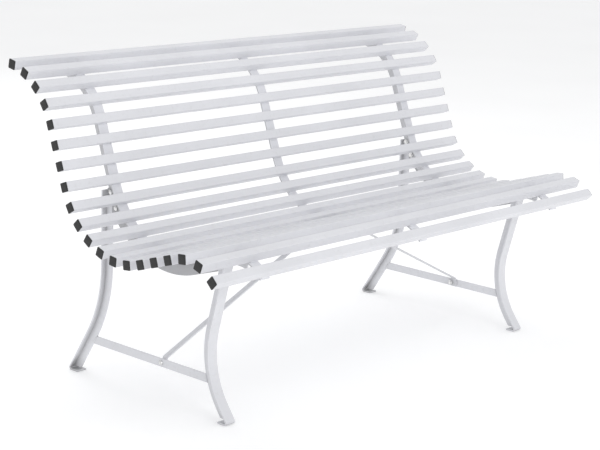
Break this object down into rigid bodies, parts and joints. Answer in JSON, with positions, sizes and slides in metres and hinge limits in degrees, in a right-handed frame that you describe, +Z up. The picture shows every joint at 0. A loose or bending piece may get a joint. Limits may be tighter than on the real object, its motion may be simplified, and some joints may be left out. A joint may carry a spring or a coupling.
{
  "type": "garden bench",
  "caption": "Slatted metal garden bench with a curved back that runs on into the seat, carried on bent ribs, splayed legs and diagonal braces.",
  "frame": {"origin": "on the ground, at the centre of the bench's bounding box", "axes": "+X along the bench, +Y from the sitter's side to the back, +Z up"},
  "size_m": [1.496, 0.7402, 0.8162],
  "materials": {
    "slat_paint": "satin off-white powder coat",
    "rib_paint": "satin off-white powder coat",
    "leg_paint": "satin off-white powder coat",
    "flat_bar_paint": "satin off-white powder coat",
    "plated_steel": "bright zinc plate",
    "cap_plastic": "moulded satin black plastic"
  },
  "bodies": {
    "root": {"bolt_middle": "plated_steel", "bolt_rib_front_left": "plated_steel", "bolt_rib_front_right": "plated_steel", "bolt_rib_rear_left": "plated_steel", "bolt_rib_rear_right": "plated_steel", "bolt_rib_top_left": "plated_steel", "bolt_rib_top_right": "plated_steel", "bolt_stretcher_left": "plated_steel", "bolt_stretcher_right": "plated_steel", "brace_left": "flat_bar_paint", "brace_right": "flat_bar_paint", "front_leg_left": "leg_paint", "front_leg_right": "leg_paint", "nut_middle": "plated_steel", "nut_rib_front_left": "plated_steel", "nut_rib_front_right": "plated_steel", "nut_rib_rear_left": "plated_steel", "nut_rib_rear_right": "plated_steel", "nut_rib_top_left": "plated_steel", "nut_rib_top_right": "plated_steel", "nut_stretcher_left": "plated_steel", "nut_stretcher_right": "plated_steel", "rear_leg_left": "leg_paint", "rear_leg_right": "leg_paint", "rib_left": "rib_paint", "rib_middle": "rib_paint", "rib_right": "rib_paint", "seat_bearer_left": "flat_bar_paint", "seat_bearer_right": "flat_bar_paint", "slat_01": "slat_paint", "slat_02": "slat_paint", "slat_03": "slat_paint", "slat_04": "slat_paint", "slat_05": "slat_paint", "slat_06": "slat_paint", "slat_07": "slat_paint", "slat_08": "slat_paint", "slat_09": "slat_paint", "slat_10": "slat_paint", "slat_11": "slat_paint", "slat_12": "slat_paint", "slat_13": "slat_paint", "slat_14": "slat_paint", "slat_15": "slat_paint", "slat_16": "slat_paint", "slat_17": "slat_paint", "slat_18": "slat_paint", "slat_19": "slat_paint", "slat_20": "slat_paint", "stretcher_left": "flat_bar_paint", "stretcher_right": "flat_bar_paint"}
  },
  "joints": []
}
